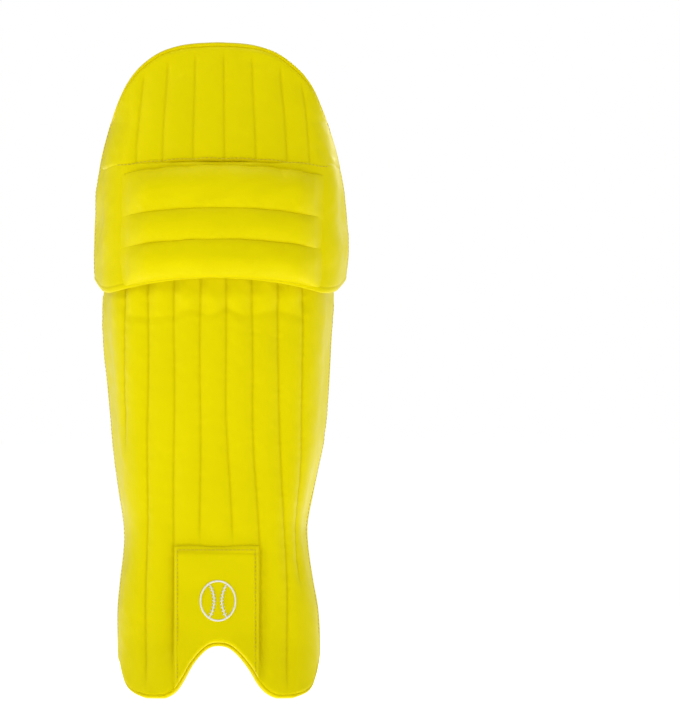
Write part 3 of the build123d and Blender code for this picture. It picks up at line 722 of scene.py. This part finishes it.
def hat_high(u, z_low=LAST):
    """Height of the dome's outline above a column."""
    heights = np.linspace(LAST, DOME_TOP, 91)
    x = np.where(u < 0, -1, 1)
    high = np.zeros_like(u)
    for sign in (-1, 1):
        share = np.abs(KNEE.end(sign, heights)) / abs(KNEE.end(sign, LAST))
        share[-1] = 0
        found = np.interp(-np.abs(u), -share, heights)
        high = np.where(x == sign, found, high)
    return high - 2.4 * ease(LAST, DOME_TOP, high)


def hat_grid(columns, rows, low, inset=0.0):
    u, v = lattice(columns, rows)
    u = 2 * u - 1
    u = np.sin(u * math.pi / 2) * 0.35 + u * 0.65
    high = hat_high(u) - inset * 1.15

    def s_of(z):
        z = np.minimum(z, LAST)
        return np.where(u < 0, -(KNEE.end(-1, z) + inset), KNEE.end(1, z) - inset) * u
    start = low(KNEE.point(s_of(600.0), 600.0, 0)[..., 0])
    z = start + (high - start) * v
    return s_of(z), z, high


def top_hat():
    columns, rows = ((260, 130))
    s, z, high = hat_grid(columns, rows, lambda x: 594.5 - 9 * (x / 120) ** 2 + 1.2 * np.abs(np.sin((x - 7) * math.pi / 35)))
    height, seam_shade = np.zeros_like(s), np.zeros_like(s)
    for k, x in enumerate(HAT_SEAMS):
        seam = KNEE.along(x * (1 - 0.10 * ease(600, 720, z)), z)
        on = (1 - ease(-22, -6, z - high)) * (0.9 if k in (0, 6) else 1.0)
        gap = np.abs(s - seam)
        height -= on * (1.2 * np.exp(-(gap / 8.0) ** 1.6) + 0.7 * np.exp(-(gap / 1.5) ** 2))
        # painted shade down each of the dome's seams
        seam_shade = np.maximum(seam_shade, 0.6 * on * np.exp(-(gap / 1.3) ** 2))
        height += on * 0.16 * np.exp(-(gap / 6.0) ** 2) * np.sin(z / 2.2 + k)
    height += 0.6 * ripple(s, z, 61, 6, 0.005, 0.02) + 0.14 * ripple(s, z, 62, 6, 0.03, 0.08)
    piece = slab("top_hat", KNEE, s, z, -height, hat_inside(s, z, high), YELLOW, "knee", "cover",
                 ["top_hat_cover", "top_hat_canes", "top_hat_foam"], seam_shade, 8.0)


def knee_binding():
    rise = np.linspace(474, LAST, 90)
    u = np.linspace(-0.999, 0.999, 240)
    u = np.sin(u * math.pi / 2)
    over_z = hat_high(u)
    over_s = np.where(u < 0, abs(KNEE.end(-1, LAST)), KNEE.end(1, LAST)) * u
    s = np.concatenate([KNEE.end(-1, rise), over_s, KNEE.end(1, rise[::-1])])
    z = np.concatenate([rise, over_z, rise[::-1]])
    points = np.stack([s, z], 1)
    for _ in range(4):
        points[1:-1] = (points[:-2] + 2 * points[1:-1] + points[2:]) / 4
    step = np.concatenate([[0], np.cumsum(np.linalg.norm(np.diff(points, axis=0), axis=1))])
    even = np.linspace(0, step[-1], 460)
    edging("knee_edge_binding", KNEE, np.interp(even, step, points[:, 0]), np.interp(even, step, points[:, 1]) - 0.6,
           13.0, 2.6, 7.0, "knee", "binding", ["knee_binding"])


# ---- linings and cushions ----
def lining(name, shell, s, z, near, material, body, slot, replaces, wave=0.25, thick=2.2):
    rough = wave * ripple(s, z, len(name) * 7, 5, 0.01, 0.05)
    return slab(name, shell, s, z, near, near + thick + rough, material, body, slot, replaces, None, 2.0)


def linings():
    columns, rows = ((110, 150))
    u, v = lattice(columns, rows)
    x = -87 + 174 * u
    low = foot(x) + 4
    z = low + (476 - low) * v
    s = SHIN.along(x, z)
    lining("shin_back_lining", SHIN, s, z, shin_inside(s, z) + 0.3, SMOOTH, "shin", "smooth_lining", ["shin_liner"])
    u, v = lattice(30, rows)
    for side, sign in (("left", -1), ("right", 1)):
        def s_of(z, sign=sign):
            inner = np.abs(SHIN.along(84.0 * sign, z))
            outer = np.abs(SHIN.end(sign, z)) - 2.0
            share = u if sign > 0 else 1 - u
            return sign * (inner + (outer - inner) * share)
        low = foot_height(SHIN, s_of, 4)
        high = wing_top(SHIN.point(s_of(460.0 + 0 * u), 460.0, 12)) - 2
        z = low + (high - low) * v
        s = s_of(z)
        lining(f"wing_lining_{side}_cloth", SHIN, s, z, shin_inside(s, z) + 0.1, INNER, "shin", "wing_lining",
               [f"wing_lining_{side}"], 0.4)
    u, v = lattice(30, rows // 2)
    for side, sign in (("left", -1), ("right", 1)):
        z = 481 + (606 - 481) * v
        inner = np.abs(KNEE.along(86.0 * sign, z))
        outer = np.abs(KNEE.end(sign, z)) - 2.0
        share = u if sign > 0 else 1 - u
        s = sign * (inner + (outer - inner) * share)
        lining(f"knee_wing_{side}_cloth", KNEE, s, z, knee_inside(s, z) + 0.1, INNER, "knee",
               "wing_lining", ["knee_wing_lining"] if side == "left" else (), 0.4)
    u, v = lattice(columns, rows // 2)
    z = 481 + 122 * v
    x = -90 + 180 * u
    s = KNEE.along(x, z)
    lining("knee_back_lining", KNEE, s, z, knee_inside(s, z) + 0.3, HAT_CLOTH, "knee", "smooth_lining", ["knee_liner"])
    s, z, high = hat_grid(columns, rows, lambda x: 590 + 0 * x, 2.5)
    lining("top_hat_lining", KNEE, s, z, np.maximum(hat_inside(s, z, high + 2.9), knee_inside(s, z) * (z < 604)) + 0.7, HAT_CLOTH, "knee", "smooth_lining",
           ["top_hat_liner"], 0.4)


def inflate(piece, cap, voxel=0.004):
    """Blows a cushion up a little as real cloth, holding it to within a cap of its cut shape."""
    bpy.context.view_layer.objects.active = piece
    for other in bpy.context.selected_objects:
        other.select_set(False)
    piece.select_set(True)
    remesh = piece.modifiers.new("remesh", "REMESH")
    remesh.mode, remesh.voxel_size = "VOXEL", voxel
    bpy.ops.object.modifier_apply(modifier=remesh.name)
    mesh = piece.data
    before = np.empty(len(mesh.vertices) * 3)
    mesh.vertices.foreach_get("co", before)
    cloth_step = piece.modifiers.new("swell", "CLOTH")
    settings = cloth_step.settings
    settings.use_pressure, settings.uniform_pressure_force = True, 4.0
    settings.effector_weights.gravity = 0.0
    settings.quality = 5
    settings.tension_stiffness, settings.compression_stiffness = 40.0, 40.0
    cloth_step.collision_settings.use_collision = False
    scene = bpy.context.scene
    for frame_number in range(1, 16):
        scene.frame_set(frame_number)
    ready = piece.evaluated_get(bpy.context.evaluated_depsgraph_get())
    after = np.empty(len(mesh.vertices) * 3)
    ready.data.vertices.foreach_get("co", after)
    piece.modifiers.remove(cloth_step)
    scene.frame_set(1)
    move = (after - before).reshape(-1, 3)
    length = np.linalg.norm(move, axis=1, keepdims=True)
    limit = cap * MM
    move *= limit * np.tanh(length / limit) / np.maximum(length, 1e-9)
    move[:, [0, 2]] *= 0.2
    mesh.vertices.foreach_set("co", (before.reshape(-1, 3) + move).ravel())
    mesh.polygons.foreach_set("use_smooth", [True] * len(mesh.polygons))
    smooth = piece.modifiers.new("refine", "SUBSURF")
    smooth.levels = smooth.render_levels = 1
    bpy.ops.object.modifier_apply(modifier=smooth.name)


def cushion(name, shell, left, right, low, high, near, far, material, body, slot, replaces, crown=0.0,
            edge=None, cap=2.0):
    """left and right give arc length at a height; low and high give height at a share of the width."""
    columns, rows = ((46, 84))
    u, v = lattice(columns, rows)
    z = low(u) + (high(u) - low(u)) * v
    s = left(z) + (right(z) - left(z)) * u
    reach = far + crown * (1 - (2 * u - 1) ** 2) - 2.0 * np.abs(2 * u - 1) ** 4
    reach = reach + 0.35 * ripple(s, z, len(name) * 13, 5, 0.01, 0.04)
    piece = slab(name, shell, s, z, near, reach, material, None, slot, (), None, edge or (far - near) * 0.62, 0.4)
    inflate(piece, cap)
    place(piece, body, slot, replaces)
    return piece


def flat(value):
    return lambda u: value + 0 * np.asarray(u, float)


def bed(height, near):
    """The surface a leg cushion lies on at one height: distance from the centre line and distance back."""
    s = np.linspace(-170, 170, 341)
    depth = near + (15.4 - near) * ease(84, 97, np.abs(s))
    points = SHIN.point(s, height, depth)
    return points[:, 0], points[:, 1]


def leg_cushion(name, left, right, low, high, near, far, material, slot, replaces, cap=2.0, edge=9.0,
                voxel=0.004):
    """left and right are distances from the centre line, or None to nestle into that wing."""
    columns, rows = ((46, 84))
    u, v = lattice(columns, rows)
    x, front, z = np.zeros_like(u), np.zeros_like(u), np.zeros_like(u)
    sides = []
    for height in np.arange(0.0, 481.0, 4.0):
        across, back = bed(height, near)
        line = back[170] - near + (near + far) / 2 + 3
        inside = across[(back < line)]
        sides.append((inside.min(), inside.max()))
    sides = np.array(sides)
    for i in range(rows):
        share = v[i, 0]
        guess = float(low(0.5) + (high(0.5) - low(0.5)) * share)
        ends = np.array([np.interp(guess, np.arange(0.0, 481.0, 4.0), sides[:, k]) for k in (0, 1)])
        first, last = ends[0] if left is None else left, ends[1] if right is None else right
        x[i] = first + (last - first) * u[i]
        z[i] = low(u[i]) + (high(u[i]) - low(u[i])) * share
        across, back = bed(guess, near)
        order = (across >= ends[0] - 3) & (across <= ends[1] + 3) & (back < back[170] + 40)
        front[i] = np.interp(x[i], across[order], back[order]) + np.interp(z[i], SHIN.z, SHIN.y) \
            - np.interp(guess, SHIN.z, SHIN.y)
    base = np.interp(z, SHIN.z, SHIN.y)
    crown = 1.2 * (1 - (2 * u - 1) ** 2) - 2.5 * np.abs(2 * u - 1) ** 4 + 0.35 * ripple(x, z, len(name) * 13, 5, 0.01, 0.04)
    rear = np.maximum(base + far + crown, front + 5)
    wide = (x[:, -1:] - x[:, :1])
    gap = np.minimum(np.minimum(u, 1 - u) * wide, np.minimum(v, 1 - v) * (high(u) - low(u)))
    swell = np.sqrt(1 - (1 - np.clip(gap / edge, 0, 1)) ** 2) * 0.62 + 0.38
    middle, half = front * 0.62 + rear * 0.38, rear - front
    front, rear = middle - 0.38 * half * swell, middle + 0.62 * half * swell
    points, faces = solid(np.stack([x, front, z], -1), np.stack([x, rear, z], -1))
    piece = make(name, points, faces, material, None, slot)
    inflate(piece, cap, voxel)
    place(piece, "shin", slot, replaces)


def cushions():
    for side, left, right, material, slot in (("left", None, -55.5, MESH, "mesh_lining"),
                                              ("centre", -53, 24.5, SMOOTH, "smooth_lining"),
                                              ("right", 27, None, MESH, "mesh_lining")):
        leg_cushion(f"bolster_{side}_pad", left, right, flat(129), flat(448), 25.6, 45.5, material, slot,
                    [f"bolster_{side}"])
    for side, left, right, material, slot in (("left", None, -46.5, MESH, "mesh_lining"),
                                              ("centre", -44, 33.5, SMOOTH, "smooth_lining"),
                                              ("right", 36, None, MESH, "mesh_lining")):
        leg_cushion(f"knee_bolster_{side}_pad", left, right, flat(453.5), flat(476.5), 26.6, 42, material, slot,
                    ["knee_bolster"] if side == "left" else (), 1.6, 7.0)
    for side, a, b in (("left", -83, -57), ("centre", -56, 27), ("right", 28, 84)):
        def low(u, a=a, b=b):
            x = a + (b - a) * np.asarray(u, float)
            return foot(x) + 9 + 5 * np.abs(2 * np.asarray(u) - 1) ** 3
        leg_cushion(f"instep_{side}_pad", a, b, low, flat(125), 25.0, 37.0, SMOOTH, "smooth_lining",
                    ["instep_liner"] if side == "left" else (), 1.2, 7.0, 0.003)

    def knee_at(x, lean=0.0):
        return lambda z: KNEE.along(x + lean * (z - 514), z)
    cushion("knee_cup_pad", KNEE, knee_at(-45, -0.1), knee_at(44, 0.12), flat(515), flat(606), 22.4, 39.0, SMOOTH, "knee",
            "smooth_lining", ["knee_cup"], 1.0)
    cushion("knee_wing_left_pad", KNEE, knee_at(-96), knee_at(-54, -0.12), flat(515), lambda u: 570 + 33 * u, 22.4, 30.5,
            MESH, "knee", "mesh_lining", ["knee_wing_pad_left"], 0.5)
    cushion("knee_wing_right_pad", KNEE, knee_at(54, 0.12), knee_at(102), flat(515), lambda u: 603 - 33 * u, 22.4, 30.5,
            MESH, "knee", "mesh_lining", ["knee_wing_pad_right"], 0.5)


# ---- straps ----
STRAP_PLAN = {
    "ankle": ("shin", (-99.5, 4.89), (-82.5, 11.04), (-12.2, -93.1), 125.7),
    "calf": ("shin", (-106.5, 18.87), (-89.5, 25.03), (-2.4, -120.7), 169.8),
    "knee": ("knee", (-124.5, 1.57), (-107.5, 7.73), (-2.0, -207.9), 240.1),
}


def tape(name, plan_path, low, high, thick, material, body, slot, replaces=(), shade=None):
    """Webbing standing on edge along a path seen from above."""
    path = np.array([(x, y, (low + high) / 2) for x, y in plan_path])
    step = np.concatenate([[0], np.cumsum(np.linalg.norm(np.diff(path, axis=0), axis=1))])
    count = max(int(step[-1] / 2.2), 6)
    even = np.linspace(0, step[-1], count)
    path = np.stack([np.interp(even, step, path[:, k]) for k in range(3)], 1)
    heights = np.linspace(-1, 1, 22) * (high - low) / 2
    half = thick / 2
    profile = [(half, h) for h in heights] + [(-half, h) for h in heights[::-1]]
    profile[0] = profile[-1] = None
    profile = [p for p in profile if p]
    profile = ([(0.0, -(high - low) / 2)] + profile)
    return tube(name, path, profile, material, body, slot, replaces)


def arc_points(plan, start, stop, offset, step=4.0):
    _, _, _, (cx, cy), radius = plan
    count = max(int(abs(stop - start) * radius / step), 4)
    return [(cx + (radius + offset) * math.sin(a), cy + (radius + offset) * math.cos(a))
            for a in np.linspace(start, stop, count)]


def turn_round(centre, radius, start, stop, count=14):
    return [(centre[0] + radius * math.cos(a), centre[1] + radius * math.sin(a)) for a in np.linspace(start, stop, count)]


def straps():
    for name, plan in STRAP_PLAN.items():
        low, high, tail_end, tab_end = STRAPS[name]
        body, ring, bar, (cx, cy), radius = plan
        shell = SHIN if body == "shin" else KNEE
        middle = (low + high) / 2
        first = math.atan2(bar[0] - cx, bar[1] - cy)
        right = shell.point(shell.end(1, middle) - 30, middle, WING + 2.6)
        end_at = shell.point(shell.end(1, middle) - 4, middle, WING + 2.6)
        final = math.asin(min((end_at[0] - 4 - cx) / radius, 1))
        lay = WEB / 2 + 0.3

        def angle_at(x):
            return math.asin((x - cx) / radius)
        base = arc_points(plan, first + 5.4 / radius, final - 7 / radius, -lay)
        base += [tuple(end_at[:2]), tuple(right[:2])]
        tape(f"{name}_base_webbing", base, low, high, WEB, BASE, (body, f"{name}_buckle",
             (bar[0] * MM + 0.045, bar[1] * MM, middle * MM), (bar[0] * MM + 0.006, bar[1] * MM, middle * MM)),
             "strap_webbing", [f"{name}_base_strap"])
        start = math.pi / 2 + 0.0
        fold = turn_round(bar, 3.4, -math.pi / 2 - 0.2 + 0.2, -math.pi * 1.5 + 0.25, 16)
        tail = fold + arc_points(plan, first + 4.0 / radius, angle_at(tail_end), lay + 0.2)
        tape(f"{name}_tail_webbing", tail, low, high, WEB, TAIL, f"{name}_flap", "strap_webbing",
             [f"{name}_strap_tail"])
        tab(name, plan, low, high, tail_end, tab_end, angle_at, lay)
        loop = ring_loop(name, ring, bar, low, high)
        inner = [shell.point(shell.end(-1, middle) + k, middle, WING + 2.2) for k in (34, 26, 18, 12, 6)]
        corner = (inner[-1][0] + 0.6, inner[-1][1] + 11.0)
        spot = math.atan2(corner[1] - ring[1], corner[0] - ring[0])
        keeper = [tuple(p[:2]) for p in inner] + [corner]
        keeper += turn_round(ring, 3.4, spot + 0.5, spot + 0.5 + math.pi * 1.6, 22)
        rows = []
        for near in (inner[0], inner[1], inner[3]):
            back = shell.point(shell.end(-1, middle) + 20, middle, 1.0) - shell.point(shell.end(-1, middle) + 20, middle, 0.0)
            line = np.array([[near[0], near[1], z] for z in np.linspace(low + 4, high - 4, 18)]) + back * 0.98
            rows.append((line, back))
        stitch_row(f"{name}_keeper_stitches", rows, PALE_THREAD, body, "strap_webbing", 2.6, 1.3, 0.34)
        tape(f"{name}_keeper_webbing", keeper, low + 2, high - 2, 1.9, BASE, body, "strap_webbing", [f"{name}_keeper"])


def stitch_row(name, rows, material, body, slot, length=3.2, gap=1.5, radius=0.36):
    """Rows of separate thread stitches. Each row is (points, outward normals)."""
    points, faces = [], []
    for path, out in rows:
        path, out = np.asarray(path, float), np.broadcast_to(np.asarray(out, float), np.shape(path))
        step = np.concatenate([[0], np.cumsum(np.linalg.norm(np.diff(path, axis=0), axis=1))])
        starts = np.arange(0.5, step[-1] - length, length + gap)
        for start in starts:
            at = start + np.array([0, 0.18, 0.5, 0.82, 1.0]) * length
            middle = np.stack([np.interp(at, step, path[:, k]) for k in range(3)], 1)
            normal = np.stack([np.interp(at, step, out[:, k]) for k in range(3)], 1)
            normal /= np.linalg.norm(normal, axis=1, keepdims=True)
            along = middle[-1] - middle[0]
            across = np.cross(normal, along / np.linalg.norm(along))
            fat = np.array([0.35, 0.9, 1.0, 0.9, 0.35])[:, None] * radius
            lift = np.array([-0.5, 0.25, 0.45, 0.25, -0.5])[:, None] * radius
            first = len(points)
            ring = [middle + lift * normal + fat * (math.cos(a) * across + math.sin(a) * normal)
                    for a in np.arange(6) * math.pi / 3]
            points += np.stack(ring, 1).reshape(-1, 3).tolist()
            for i in range(4):
                for j in range(6):
                    a, b = first + i * 6 + j, first + i * 6 + (j + 1) % 6
                    faces.append((a, b, b + 6, a + 6))
            faces += [tuple(first + j for j in range(6))[::-1], tuple(first + 24 + j for j in range(6))]
    return make(name, points, faces, material, body, slot)


def surface_row(shell, s, z, height):
    return shell.point(s, z, -height - 0.05), -normals(shell, s, z)


def shell_stitching():
    """Rows beside the bindings, round the instep patch and along the top of the knee rolls."""
    rows = []
    z = np.linspace(70, 440, 186)
    for sign in (-1, 1):
        s = SHIN.end(sign, z) - sign * 8.5
        rows.append(surface_row(SHIN, s, z, shin_relief(s, z)[0]))
    stitch_row("shin_edge_stitches", rows, YELLOW_THREAD, "shin", "binding")
    rows = []
    z = np.linspace(472, 640, 90)
    for sign in (-1, 1):
        s = KNEE.end(sign, z) - sign * 8.5
        rows.append(surface_row(KNEE, s, z, knee_relief(s, z) - 0.1))
    x = np.linspace(-112, 122, 140)
    z = 597.5 - 9 * (x / 120) ** 2 + 1.2 * np.abs(np.sin((x - 7) * math.pi / 35))
    s = KNEE.along(x, z)
    rows.append(surface_row(KNEE, s, z + 1.5, 0.5 + 0 * s))
    stitch_row("knee_stitches", rows, YELLOW_THREAD, "knee", "binding")
    rows = []
    x = np.concatenate([np.full(60, -44.0), np.linspace(-44, 41, 50), np.full(60, 41.0)])
    z = np.concatenate([np.linspace(22, 164.5, 60), np.full(50, 164.5), np.linspace(164.5, 22, 60)])
    s = SHIN.along(x, z)
    rows.append(surface_row(SHIN, s, z, 5.3 + 0 * s))
    stitch_row("instep_stitches", rows, YELLOW_THREAD, "shin", "binding")


def tab(name, plan, low, high, tail_end, tab_end, angle_at, lay):
    """Hook tab at the tail's end, narrowing to a blunt tip."""
    _, _, _, (cx, cy), radius = plan
    u, v = lattice(26, 18)
    first, last = angle_at(tail_end - 5), angle_at(tab_end)
    angle = first + (last - first) * u
    x = np.sin(angle) * radius + cx
    share = np.clip((x - tail_end) / (tab_end - tail_end), 0, 1)
    half = (high - low) / 2 - 3 - ((high - low) * 0.31 - 3) * share
    tip = np.clip((u - 0.9) / 0.1, 0, 1)
    half = half * (1 - 0.16 * tip**2)
    z = (low + high) / 2 + half * (2 * v - 1)
    gap = np.minimum(half * (1 - np.abs(2 * v - 1)), (1 - u) * (last - first) * radius)
    lift = 1.0 * np.sqrt(1 - (1 - np.clip(gap / 2.0, 0, 1)) ** 2)
    stitch = 0.45 * np.exp(-((gap - 3.6) / 0.6) ** 2)
    outer = radius + lay + 2.4 + lift - stitch
    inner = radius + lay + 1.0 + 0 * lift

    def points(r):
        return np.stack([cx + r * np.sin(angle), cy + r * np.cos(angle), z], -1)
    verts, faces = solid(points(outer), points(inner))
    make(f"{name}_tab", verts, faces, HOOKS, f"{name}_flap", "hook_tape", [f"{name}_hook_tab"])
    rim_angle, rim_z = [], []
    for share, side in [(k, 1) for k in np.linspace(0.1, 0.9, 24)] + [(0.9, k) for k in np.linspace(0.8, -0.8, 9)] \
            + [(k, -1) for k in np.linspace(0.9, 0.1, 24)]:
        a = first + (last - first) * share
        across = np.clip((math.sin(a) * radius + cx - tail_end) / (tab_end - tail_end), 0, 1)
        wide = (high - low) / 2 - 3 - ((high - low) * 0.31 - 3) * across - 3.2
        rim_angle.append(a)
        rim_z.append((low + high) / 2 + wide * side)
    rim_angle, r = np.array(rim_angle), radius + lay + 3.25
    path = np.stack([cx + r * np.sin(rim_angle), cy + r * np.cos(rim_angle), np.array(rim_z)], 1)
    out = np.stack([np.sin(rim_angle), np.cos(rim_angle), 0 * rim_angle], 1)
    rows = [(path, out)]
    for place_at in (9.0, 12.5):
        a = angle_at(plan[2][0]) + place_at / radius
        r = radius + lay + 0.2 + WEB / 2
        spot = np.array([cx + r * math.sin(a), cy + r * math.cos(a)])
        line = np.array([[spot[0], spot[1], z] for z in np.linspace(low + 2.5, high - 2.5, 20)])
        rows.append((line, (math.sin(a), math.cos(a), 0.0)))
    stitch_row(f"{name}_tab_stitches", rows, PALE_THREAD, f"{name}_flap", "strap_webbing", 2.6, 1.3, 0.34)


def ring_loop(name, ring, bar, low, high):
    """Moulded plastic loop with rounded corners."""
    ring, bar = np.array(ring), np.array(bar)
    centre, across = (ring + bar) / 2, bar - ring
    wide, tall = np.linalg.norm(across), high - low + 7.0
    across = across / wide
    path = []
    for x, z in rounded(wide, tall, 4.5, 6):
        path.append((centre[0] + across[0] * x, centre[1] + across[1] * x, (low + high) / 2 + z))
    normal = (-across[1], across[0], 0)
    return tube(f"{name}_loop", path, circle(2.1, 12, 0.9), RING, f"{name}_buckle", "ring_plastic", [f"{name}_ring"],
                closed=True, up=normal)


shin_shell()
shin_binding()
instep_patch()
mark()
knee_shell()
knee_rolls()
top_hat()
knee_binding()
linings()
cushions()
straps()
shell_stitching()

# ---- stage, light and camera ----
def studio():
    """Plain white room light, a soft key from the upper left and a pale floor."""
    scene = bpy.context.scene
    scene.view_settings.view_transform = "Standard"
    world = bpy.data.worlds.new("studio")
    world.use_nodes = True
    tree = world.node_tree
    seen = tree.nodes.new("ShaderNodeLightPath").outputs["Is Camera Ray"]
    strength = tree.nodes.new("ShaderNodeMapRange")
    tree.links.new(seen, strength.inputs["Value"])
    strength.inputs["To Min"].default_value, strength.inputs["To Max"].default_value = 0.30, 1.0
    backing = tree.nodes["Background"]
    backing.inputs["Color"].default_value = (1.0, 1.0, 1.0, 1.0)
    tree.links.new(strength.outputs["Result"], backing.inputs["Strength"])
    scene.world = world
    pale = Shader("floor", Roughness=0.9, Emission_Color=(1, 1, 1, 1), Emission_Strength=0.74)
    cloud = pale.noise(3.0)
    pale.link(pale.mix(cloud, (0.93, 0.93, 0.93, 1), (0.90, 0.90, 0.90, 1)), "Base Color")
    size = 40.0
    mesh = bpy.data.meshes.new("floor")
    mesh.from_pydata([(-size, -size, -0.0006), (size, -size, -0.0006), (size, size, -0.0006), (-size, size, -0.0006)],
                     [], [(0, 1, 2, 3)])
    floor = bpy.data.objects.new("floor", mesh)
    scene.collection.objects.link(floor)
    mesh.materials.append(pale.material)
    lamps = [("key_soft", (-2.3, -1.5, 1.9), 0.9, 21), ("fill_soft", (2.2, -2.2, 0.9), 1.6, 8),
             ("top_soft", (0.2, -0.3, 2.7), 1.6, 16), ("back_soft", (1.2, 2.4, 1.6), 1.6, 30)]
    for name, spot, width, power in lamps:
        light = bpy.data.lights.new(name, "AREA")
        light.size, light.energy = width, power
        lamp = bpy.data.objects.new(name, light)
        lamp.location = spot
        lamp.rotation_euler = (Vector((0, 0, 0.36)) - Vector(spot)).to_track_quat("-Z", "Y").to_euler()
        scene.collection.objects.link(lamp)


def camera():
    """Straight at the front, from far off, with the pad left of centre."""
    high = 0.8024              # metres seen from top to bottom of the frame
    lens, sensor = 600.0, 36.0
    eye = bpy.data.cameras.new("camera")
    eye.lens, eye.sensor_width = lens, sensor
    eye.shift_x = 0.1695
    spot = bpy.data.objects.new("camera", eye)
    spot.location = (0.0, -(high * lens / sensor) - 0.06, 0.3756)
    spot.rotation_euler = (math.pi / 2, 0, 0)
    bpy.context.scene.collection.objects.link(spot)
    bpy.context.scene.camera = spot


studio()
camera()
